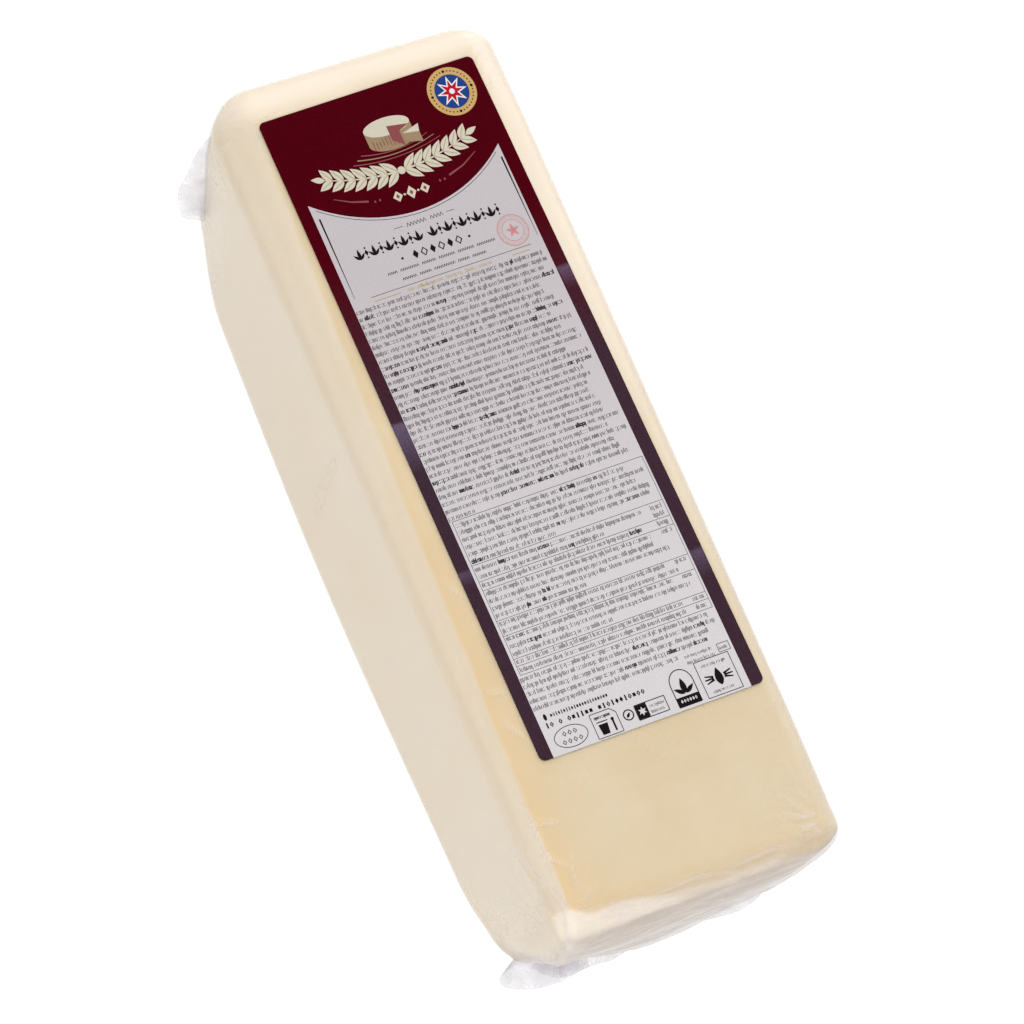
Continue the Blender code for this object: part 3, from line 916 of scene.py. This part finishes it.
def waves(draw, left, right, baseline, height, weight):
    # short stretches of an even wavy line
    pieces = []
    u = left
    while u < right - 2:
        path = []
        for step in range(2 * draw.randint(4, 9) + 1):
            path.append((u, baseline - (height if step % 2 else 0)))
            u += height * 0.46
        pieces += stroke(path, weight)
        u += height * 0.7
    return pieces


def beads(draw, left, right, middle, height, step):
    # a bold row of small blocks, lozenges and bars with a gap now and then
    pieces = []
    u = left + step / 2
    while u < right:
        kind = draw.choice((0, 1, 2, 3, 0, 1, 2, 3, 4))
        if kind == 0:
            pieces.append(lozenge(u, middle, step * 0.8, height))
        elif kind == 1:
            pieces += stroke([(u, middle - height / 2), (u, middle + height / 2)], step * 0.34)
        elif kind == 2:
            pieces += hollowLozenge(u, middle, step * 0.84, height, step * 0.22)
        elif kind == 3:
            pieces += stroke([(u, middle - height * 0.32), (u, middle + height * 0.32)], step * 0.66)
        u += step
    return pieces


# heading: a round cheese over a leafy garland, thin flourishes and a round badge

heading = {
    "garlandCentre": (49.2, 37.2),
    "garlandHalfWidth": 32.5,
    "garlandRise": 5.8,
    "leafPairs": 7,
    "leafLength": 8.6,
    "leafWidth": 3.3,
    "leafTurn": 40,
    "cheese": (51.0, 17.6),
    "cheeseRim": (10.5, 3.9),
    "cheeseHeight": 6.4,
    "badge": (84.3, 12.2),
    "badgeRadius": 10.7,
    "badgeDisc": 7.5,
    "badgeBeads": 36,
    "lozengeRow": 47.2,
}


def printGarland():
    centreU, centreV = heading["garlandCentre"]
    half, rise = heading["garlandHalfWidth"], heading["garlandRise"]
    for side in (-1, 1):
        stem = [(centreU + side * half * t / 12, centreV - rise * (t / 12) ** 2) for t in range(13)]
        lay("cream", 1, stroke(stem, 0.9, 0.4))
        for index in range(heading["leafPairs"]):
            t = (index + 0.35) / heading["leafPairs"]
            u, v = centreU + side * half * t, centreV - rise * t * t
            along = math.degrees(math.atan2(-2 * rise * t, side * half))
            size = heading["leafLength"] * (1 - 0.18 * t)
            for angle in (along - heading["leafTurn"], along + heading["leafTurn"]):
                lay("cream", 2, [leaf(u, v, size, heading["leafWidth"], angle)])
                lay("tan", 3, stroke([(u, v), around(u, v, 0.8 * size, angle)], 0.22))
        along = math.degrees(math.atan2(-2 * rise, side * half))
        lay("cream", 2, [leaf(centreU + side * half, centreV - rise, 6.0, 2.6, along)])
    lay("cream", 3, [oval(centreU, centreV, 1.7, 1.7, 20)])


def printCheese():
    (u, v), rim, tall = heading["cheese"], heading["cheeseRim"], heading["cheeseHeight"]
    halfTurn = [math.pi * k / 20 for k in range(21)]
    low = [(u - rim[0] * math.cos(turn), v + rim[1] * math.sin(turn)) for turn in halfTurn]
    lay("tan", 1, [[a, b, (b[0], b[1] + tall), (a[0], a[1] + tall)] for a, b in zip(low, low[1:])])
    lay("cream", 2, [oval(u, v, *rim)])
    notch = (u + 4.6, v + 3.5)
    lay("rose", 3, [[(u, v), (u + 9.6, v + 1.6), notch]])
    lay("rose", 3, [[(u, v), notch, (notch[0], notch[1] + tall), (u, v + tall)]])
    for k in range(9):
        fleck = u - 8.4 + 1.5 * k
        top, foot = v + 4.6 + 0.9 * math.sin(k), v + 8.2 + 0.6 * math.cos(k)
        lay("rose", 2, stroke([(fleck, top), (fleck, foot)], 0.35))
    left, right, down = u + 5.4, u + 12.6, v + 4.4       # the wedge cut out of it
    lay("cream", 4, [[(left, down + 0.6), (right + 0.8, down - 1.6), (right, down + 1.8)]])
    lay("tan", 4, [[(left, down + 0.6), (right, down + 1.8), (right, down + 6.2), (left, down + 4.6)]])
    for index, ink in enumerate(("rose", "tan", "rose")):
        reach, drop = 15.5 + 2.4 * index, v + 10.6 + 1.5 * index
        ground = [(u + reach * t, drop - 2.4 * t * t - 0.5 * t) for t in np.linspace(-1, 1, 17).tolist()]
        lay(ink, 1, stroke(ground, 0.5, 0.25))


def printBadge():
    u, v = heading["badge"]
    beadRing = (heading["badgeRadius"] + heading["badgeDisc"]) / 2
    lay("gold", 1, disc(u, v, heading["badgeRadius"]))
    for k in range(heading["badgeBeads"]):
        size = 0.62 if k % 9 == 0 else 0.34
        lay("dark", 2, [oval(*around(u, v, beadRing, 360 * k / heading["badgeBeads"]), size, size, 10)])
    lay("blue", 2, disc(u, v, heading["badgeDisc"]))
    lay("white", 3, rays(u, v, 8, 6.9, 3.2))
    lay("red", 4, rays(u, v, 8, 5.2, 2.3))
    lay("white", 5, [oval(u, v, 1.2, 1.2, 20)])


def printHeading():
    printCheese()
    printGarland()
    printBadge()
    row = heading["lozengeRow"]
    for k, u in enumerate((43.0, 49.2, 55.4)):
        lay("cream", 2, [lozenge(u, row, 4.4, 5.8 if k == 1 else 4.8)])
        lay("rose", 3, [lozenge(u, row, 1.6, 2.2)])
    lay("cream", 2, [oval(u, row, 0.5, 0.5, 12) for u in (46.1, 52.3)])
    for flourish in ([(16.7, 40.0), (23.5, 43.4), (30.4, 45.4)], [(82.5, 39.2), (75.0, 43.2), (67.5, 45.4)]):
        lay("rose", 1, stroke(flourish, 0.3, 0.9))
    lay("rose", 1, [lozenge(u, row - 0.9, 1.0, 1.4) for u in (33.0, 35.2, 62.8, 65.0)])


# panel: the pale field with an arched top, its title frieze, small print, table and plain pictograms

panel = {
    "left": 5.4,
    "right": 93.2,
    "arcEnds": 39.2,
    "arcMiddle": 55.4,
    "cell": 3.6,
    "friezeRow": 67.7,
    "lozengeRow": 72.3,
    "stamp": (82.9, 75.7),
    "printLines": 30,
    "firstLine": 88.1,
    "linePitch": 3.17,
    "baselineDrop": 0.7,
    "markHeight": 1.42,
    "markPitch": 1.1,
    "markWeight": 0.24,
    "table": (6.7, 92.3),
    "seed": 23,
}

# lines of the table and the foot, in mm down the label
tableRules = (181.3, 200.7, 207.7, 211.6, 225.0, 231.6, 241.6, 244.7, 248.5)
tableLines = (183.4, 186.5, 189.7, 192.9, 196.0, 199.3, 202.8, 206.0, 209.6, 213.3, 216.6, 219.7, 222.9,
              226.4, 229.7, 233.1, 236.4, 239.7, 243.1, 246.7)
tableValues = (202.8, 206.0, 209.6, 213.3, 226.4, 233.1, 243.1, 246.7)
tableShort = {199.3: 45.0, 222.9: 48.0, 239.7: 52.0, 206.0: 64.0}
footLines = (250.4, 253.5, 256.7, 259.9, 263.1)


def arcTop(u):
    # how far down the panel starts, along the circle through its two top corners and its lowest middle point
    half = (panel["right"] - panel["left"]) / 2
    sag = panel["arcMiddle"] - panel["arcEnds"]
    radius = (half * half + sag * sag) / (2 * sag)
    offset = u - (panel["left"] + half)
    return panel["arcMiddle"] - radius + math.sqrt(max(radius * radius - offset * offset, 0.0))


def printPanel():
    left, right, length = panel["left"], panel["right"], labelSheet["length"]
    columns = round((right - left) / panel["cell"])
    rows = round((length - panel["arcEnds"]) / panel["cell"])
    for column in range(columns):
        a, b = mix(left, right, column / columns), mix(left, right, (column + 1) / columns)
        for row in range(rows):
            lay("panel", 1, [[(u, mix(arcTop(u), length, place / rows)) for u, place in (
                (a, row), (b, row), (b, row + 1), (a, row + 1))]])
    inner = [mix(left + 2.4, right - 2.4, k / 30) for k in range(31)]
    lay("dark", 2, stroke([(u, arcTop(u) + 1.1) for u in inner], 0.22))
    for u, v in ((7.7, 46.0), (92.0, 45.0)):
        lay("dark", 2, stroke([(u, v), (u, v + 36.0)], 0.75, 0.15))


def rule(left, right, v, width):
    return stroke([(left, v), (right, v)], width)


def printTitle(draw):
    row = panel["friezeRow"]
    lay("dark", 2, rule(35.5, 39.5, 59.6, 0.2), rule(59.5, 63.0, 59.6, 0.2))
    lay("dark", 2, waves(draw, 41.2, 57.5, 60.5, 1.6, 0.22))
    for left, right, count in ((15.4, 45.4, 9), (48.8, 82.2, 10)):
        step = (right - left) / count
        for k in range(count):
            u = left + step * (k + 0.5)
            if k % 2 == 0:
                lay("dark", 2, [leaf(u, row, 4.9, 1.5, -90), leaf(u - 0.2, row - 0.2, 3.4, 1.1, -132),
                                leaf(u + 0.2, row - 0.2, 3.4, 1.1, -48)])
            else:
                lay("dark", 2, [lozenge(u, row - 2.4, step * 0.5, 2.7)])
                lay("dark", 2, [oval(u, v, 0.4, 0.4, 12) for v in (row - 4.5, row - 0.3)])
    row = panel["lozengeRow"]
    for k in range(6):
        u = 39.6 + 3.95 * k
        lay("dark", 2, hollowLozenge(u, row, 3.3, 4.0, 0.5) if k % 2 else [lozenge(u, row, 2.6, 3.9)])
    lay("dark", 2, [oval(u, row, 0.55, 0.55, 12) for u in (33.6, 64.2)])
    for left, right, baseline in ((25.0, 73.0, 77.4), (30.0, 68.0, 81.2)):
        lay("dark", 2, waves(draw, left, right, baseline, 1.15, 0.22))
    lay("dark", 2, rule(14.5, 87.5, 83.6, 0.2))
    lay("ochre", 2, rule(15.0, 26.7, 85.6, 0.3), rule(78.0, 86.0, 85.6, 0.3))
    lay("ochre", 2, marks(draw, 30.4, 69.2, 86.2, 1.2, 1.2, 0.22))


def printStamp():
    u, v = panel["stamp"]
    lay("pink", 2, ring(u, v, 6.9, 6.9, 0.35), ring(u, v, 4.8, 4.8, 0.3))
    for k in range(44):
        tall = 0.55 if k % 3 else 0.3
        ends = [around(u, v, radius, 360 * k / 44) for radius in (5.85 - tall, 5.85 + tall)]
        lay("pink", 2, stroke(ends, 0.22))
    lay("pink", 2, [leaf(u, v, 3.0, 1.3, 72 * k - 90) for k in range(5)])


def smallLine(draw, left, right, baseline):
    lay("dark", 2, marks(draw, left, right, baseline + panel["baselineDrop"],
                         panel["markHeight"], panel["markPitch"], panel["markWeight"]))


def tinyLine(draw, left, right, baseline, pitch=0.95, weight=0.2):
    lay("dark", 2, marks(draw, left, right, baseline, 0.95, pitch, weight))


def printSmallPrint(draw):
    for index in range(panel["printLines"]):
        baseline = panel["firstLine"] + panel["linePitch"] * index
        right = 18.0 if index == panel["printLines"] - 1 else draw.uniform(82.0, 93.0)
        smallLine(draw, 5.9, right, baseline)
    for baseline in tableLines:
        right = tableShort.get(baseline, draw.uniform(80.0, 91.0))
        if baseline in tableValues:
            right = min(right, 82.0)
            smallLine(draw, 86.0, 91.4, baseline)
        smallLine(draw, 7.5, right, baseline)
    for v in tableRules:
        lay("dark", 2, rule(*panel["table"], v, 0.17))
    for u in panel["table"]:
        lay("dark", 2, stroke([(u, tableRules[0]), (u, tableRules[-1])], 0.17))
    for index, baseline in enumerate(footLines):
        right = 70.0 if index == len(footLines) - 1 else draw.uniform(84.0, 92.0)
        smallLine(draw, 5.9, right, baseline)
    for baseline in (264.4, 267.0):
        tinyLine(draw, 72.5, 85.0, baseline)
    lay("dark", 2, beads(draw, 11.0, 36.5, 267.4, 1.7, 1.15), [oval(8.9, 267.4, 0.7, 1.4, 14)])
    lay("dark", 2, beads(draw, 7.5, 51.7, 270.9, 2.3, 1.9))


def printPictograms(draw):
    # an oval with lozenges
    lay("dark", 2, ring(15.7, 277.8, 7.25, 4.5, 0.3))
    for u, v in [(13.4 + 2.3 * k, 276.2) for k in range(3)] + [(12.2 + 2.35 * k, 279.5) for k in range(4)]:
        lay("dark", 2, hollowLozenge(u, v, 1.7, 2.2, 0.3))

    # a beaker and a stirrer
    card = [(25.7, 272.7), (34.4, 272.7), (36.5, 274.8), (36.5, 283.0), (25.7, 283.0), (25.7, 272.7)]
    lay("dark", 2, stroke(card, 0.3), [[(27.6, 277.6), (31.6, 277.6), (31.1, 282.0), (28.1, 282.0)]],
        rule(27.2, 32.0, 276.6, 0.4))
    tinyLine(draw, 27.0, 35.0, 275.2, 1.0, 0.22)
    lay("dark", 2, stroke([(34.0, 277.5), (34.0, 281.8)], 0.8), [oval(34.0, 276.9, 0.7, 0.7, 12)])

    # a leaf in a ring, and a star on a dark field
    lay("dark", 2, ring(40.8, 277.8, 2.3, 2.3, 0.5), [leaf(39.9, 278.8, 2.6, 1.1, -48)])
    lay("dark", 2, frameLines(44.2, 275.2, 57.5, 281.4, 0.35))
    lay("dark", 2, [[(44.4, 275.4), (49.2, 275.4), (49.2, 281.2), (44.4, 281.2)]])
    lay("panel", 3, rays(46.8, 278.3, 6, 1.9, 0.9))
    for baseline in (277.9, 280.3):
        tinyLine(draw, 50.2, 57.0, baseline)

    # three leaves under an arch
    halfTurn = [math.pi * k / 14 for k in range(15)]
    arch = [(66.7 - 5.0 * math.cos(turn), 273.0 - 5.6 * math.sin(turn)) for turn in halfTurn]
    lay("dark", 2, stroke([(61.7, 282.3)] + arch + [(71.7, 282.3), (61.7, 282.3)], 0.4))
    lay("dark", 2, [[(61.9, 278.4), (71.5, 278.4), (71.5, 282.1), (61.9, 282.1)]])
    lay("dark", 2, [leaf(66.7, 277.4, 6.6, 2.6, -90), leaf(66.4, 277.4, 5.0, 1.8, -145),
                    leaf(67.0, 277.4, 5.0, 1.8, -35)])
    lay("panel", 3, beads(draw, 63.0, 70.6, 280.2, 1.6, 1.25))

    # a bud between rays
    lay("dark", 2, frameLines(74.6, 267.3, 90.0, 282.7, 0.3))
    tinyLine(draw, 77.0, 87.8, 270.2)
    tinyLine(draw, 77.6, 87.2, 281.4)
    lay("dark", 2, [leaf(82.3, 279.2, 7.6, 3.4, -90)])
    for angle in (-160, -180, -20, 0, 160, 20):
        lay("dark", 2, stroke([around(82.3, 275.6, radius, angle, 0.75) for radius in (2.4, 6.2)], 0.9, 0.5))
    lay("dark", 2, frameLines(86.9, 263.2, 91.9, 266.6, 0.22))
    tinyLine(draw, 87.5, 91.4, 265.7)


def downLabel(add, place, start, end):
    # 0 to 1 between two places down the label
    y = add("ShaderNodeSeparateXYZ", {"Vector": place}, "Y")
    topY = labelSheet["corners"][0][1]
    return add("ShaderNodeMapRange", {
        "Value": y, "From Min": (topY - start) * mm, "From Max": (topY - end) * mm},
        interpolation_type="SMOOTHSTEP")


def varnishedMaterial(name, look, colour, lowReflectionColour, roughness, sheenMarked=False):
    # offset ink on coated paper under varnish: an even colour, a fine mottle, and the varnish's slight swell
    material, add = emptyMaterial(name)
    place = add("ShaderNodeTexCoord", output="Object")
    mottle = add("ShaderNodeTexNoise", {
        "Vector": place, "Scale": 1 / (look["mottleSize"] * mm), "Detail": 2.0})
    swell = add("ShaderNodeTexNoise", {
        "Vector": place, "Scale": 1 / (look["swellSize"] * mm), "Detail": look["swellDetail"]})
    value = add("ShaderNodeMapRange", {
        "Value": mottle, "To Min": look["mottle"][0], "To Max": look["mottle"][1]})
    toned = toLinear(colour)
    # painted reflection: the colour turns towards the lower colour down the label
    if lowReflectionColour:
        fade = downLabel(add, place, *look["fade"])
        toned = add("ShaderNodeMix", {
            "Factor": fade, "A": toned, "B": toLinear(lowReflectionColour)}, "Result", data_type="RGBA")
    # painted sheen: paler patches mixed into the sheet's colour
    if sheenMarked:
        sheenMark = add("ShaderNodeAttribute", output="Fac", attribute_name="sheenMark")
        paintedSheen = toLinear(labelSheet["sheenMarkColour"])
        toned = add("ShaderNodeMix", {"Factor": sheenMark, "A": toned, "B": paintedSheen}, "Result", data_type="RGBA")
    tinted = add("ShaderNodeHueSaturation", {"Color": toned, "Value": value})
    bump = add("ShaderNodeBump", {
        "Height": swell, "Strength": look["swell"], "Distance": look["swellHeight"] * mm})
    shader = add("ShaderNodeBsdfPrincipled", {
        "Base Color": tinted, "Normal": bump, "Roughness": roughness, "IOR": 1.49,
        "Specular IOR Level": look["shine"]})
    add("ShaderNodeOutputMaterial", {"Surface": shader})
    return material


def sheenMarkAt(u, v):
    # how much painted sheen the sheet has: strongest at the upper end of each patch
    paintedSheen = 0
    for left, right, top, low, strength in labelSheet["sheenMarks"]:
        if left <= u <= right and top <= v <= low:
            paintedSheen = max(paintedSheen, strength * (1 - (v - top) / (low - top)))
    return paintedSheen


def makeLabelSheet():
    corner, width, length = labelSheet["corner"], labelSheet["width"], labelSheet["length"]
    arc = [corner * (1 - math.sin(math.radians(15 * k))) for k in range(6, -1, -1)]
    middle = np.linspace(corner, length - corner, round((length - 2 * corner) / labelSheet["cell"]) + 1)
    rows = arc[:-1] + middle.tolist() + [length - v for v in reversed(arc[:-1])]
    columns = round(width / labelSheet["cell"])
    points, sheenMark = [], []
    for v in rows:
        depth = max(corner - v, corner - (length - v), 0.0)
        inset = corner - math.sqrt(max(corner * corner - depth * depth, 0.0))
        for column in range(columns + 1):
            u = mix(inset, width - inset, column / columns)
            points.append(onLabel(u, v, 0))
            sheenMark.append(sheenMarkAt(u, v))
    faces = gridQuads(len(rows) - 1, columns, (0, 3, 2, 1))
    varnished = varnishedMaterial("varnished label sheet", sheetLook, labelSheet["topColour"],
                                  labelSheet["lowReflectionColour"], labelSheet["roughness"], sheenMarked=True)
    piece = newPiece("label_sheet", points, faces, varnished, {"sheenMark": sheenMark})
    thickness = piece.modifiers.new("sheet thickness", "SOLIDIFY")
    thickness.thickness = labelSheet["thickness"] * mm
    thickness.offset = -1.0
    crisp = piece.modifiers.new("crisp edge", "EDGE_SPLIT")
    crisp.split_angle = math.radians(40)
    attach(piece, "root")
    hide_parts("label")
    print("label sheet:", len(points), "points")


def makePrint():
    draw = random.Random(panel["seed"])
    printHeading()
    printPanel()
    printTitle(draw)
    printStamp()
    printSmallPrint(draw)
    printPictograms(draw)
    for ink, shapes in printed.items():
        points, faces = [], []
        for layer, polygon in shapes:
            area = sum(a[0] * b[1] - b[0] * a[1] for a, b in zip(polygon, polygon[1:] + polygon[:1]))
            if area > 0:
                polygon = polygon[::-1]
            faces.append(list(range(len(points), len(points) + len(polygon))))
            points += [onLabel(u, v, layer) for u, v in polygon]
        material = varnishedMaterial(f"varnished {ink} ink", inkLook, *inks[ink])
        piece = newPiece(f"print_{ink}", points, faces, material, smooth=False)
        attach(piece, "root")
        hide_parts("label")
        print("print in", ink + ":", len(faces), "shapes")


# floor, light and camera

studio = {
    "floorSize": 6000.0,
    "floorDrop": 0.3,              # just below the block, so that the two never touch
    "floorColour": "#7c7c7c",
    "floorGlow": 0.9,
    "grainSize": 2.5,
    "worldColour": "#ffffff",
    "worldStrength": 0.25,
    "lampDistance": 1900.0,
}

lamps = {                          # azimuth 0 is over the near end and 90 over the right side
    "key from behind right": {"azimuth": 140, "elevation": 32, "size": 2300, "watts": 32},
    "fill over the near end": {"azimuth": -20, "elevation": 50, "size": 1500, "watts": 17.5},
    "fill from the left": {"azimuth": -100, "elevation": 40, "size": 1500, "watts": 7.5},
}

cameraView = {
    "target": (6.2, -6.8, 47.5),
    "distance": 1711.8,
    "azimuth": -63.7,
    "elevation": 65.09,
    "roll": 42.3,
    "lens": 147.66,
    "sensorWidth": 36.0,
    "clipEnd": 20.0,               # metres
}


def aim(thing, view, name):
    # an object for the lamp or camera, at its distance from the target and turned to face it
    azimuth, elevation = math.radians(view["azimuth"]), math.radians(view["elevation"])
    away = Vector((math.sin(azimuth), -math.cos(azimuth), math.tan(elevation))).normalized()
    holder = bpy.data.objects.new(name, thing)
    distance = view.get("distance", studio["lampDistance"])
    holder.location = (Vector(cameraView["target"]) + away * distance) * mm
    holder.rotation_mode = "QUATERNION"
    roll = Quaternion((0.0, 0.0, 1.0), math.radians(view.get("roll", 0.0)))
    holder.rotation_quaternion = away.to_track_quat("Z", "Y") @ roll
    bpy.context.scene.collection.objects.link(holder)
    return holder


def makeFloor():
    # matte white table, lit from within so that the ground stays white right up to the block
    material, add = emptyMaterial("matte white table")
    place = add("ShaderNodeTexCoord", output="Object")
    grain = add("ShaderNodeTexNoise", {"Vector": place, "Scale": 1 / (studio["grainSize"] * mm)})
    bump = add("ShaderNodeBump", {"Height": grain, "Strength": 0.05, "Distance": 0.1 * mm})
    shader = add("ShaderNodeBsdfPrincipled", {
        "Normal": bump, "Base Color": toLinear(studio["floorColour"]), "Roughness": 0.9,
        "Specular IOR Level": 0.2, "Emission Color": toLinear("#ffffff"),
        "Emission Strength": studio["floorGlow"]})
    add("ShaderNodeOutputMaterial", {"Surface": shader})
    half, drop = studio["floorSize"] / 2, studio["floorDrop"]
    corners = [(-half, -half, -drop), (half, -half, -drop), (half, half, -drop), (-half, half, -drop)]
    newPiece("floor", corners, [(0, 1, 2, 3)], material)


def makeStudio():
    scene = bpy.context.scene
    scene.view_settings.view_transform = "Standard"
    world = bpy.data.worlds.new("white room")
    world.use_nodes = True
    background = world.node_tree.nodes["Background"]
    background.inputs["Color"].default_value = toLinear(studio["worldColour"])
    background.inputs["Strength"].default_value = studio["worldStrength"]
    scene.world = world
    makeFloor()

    for name, lamp in lamps.items():
        light = bpy.data.lights.new(name, "AREA")
        light.shape = "DISK"
        light.size = lamp["size"] * mm
        light.energy = lamp["watts"]
        aim(light, lamp, name).visible_camera = False

    camera = bpy.data.cameras.new("camera")
    camera.sensor_width = cameraView["sensorWidth"]
    camera.lens = cameraView["lens"]
    camera.clip_end = cameraView["clipEnd"]
    scene.camera = aim(camera, cameraView, "camera")
    print("studio ready")


makeStudio()
makeCheddar()
makeBagFilm()
makeLooseFilm()
makeLabelSheet()
makePrint()
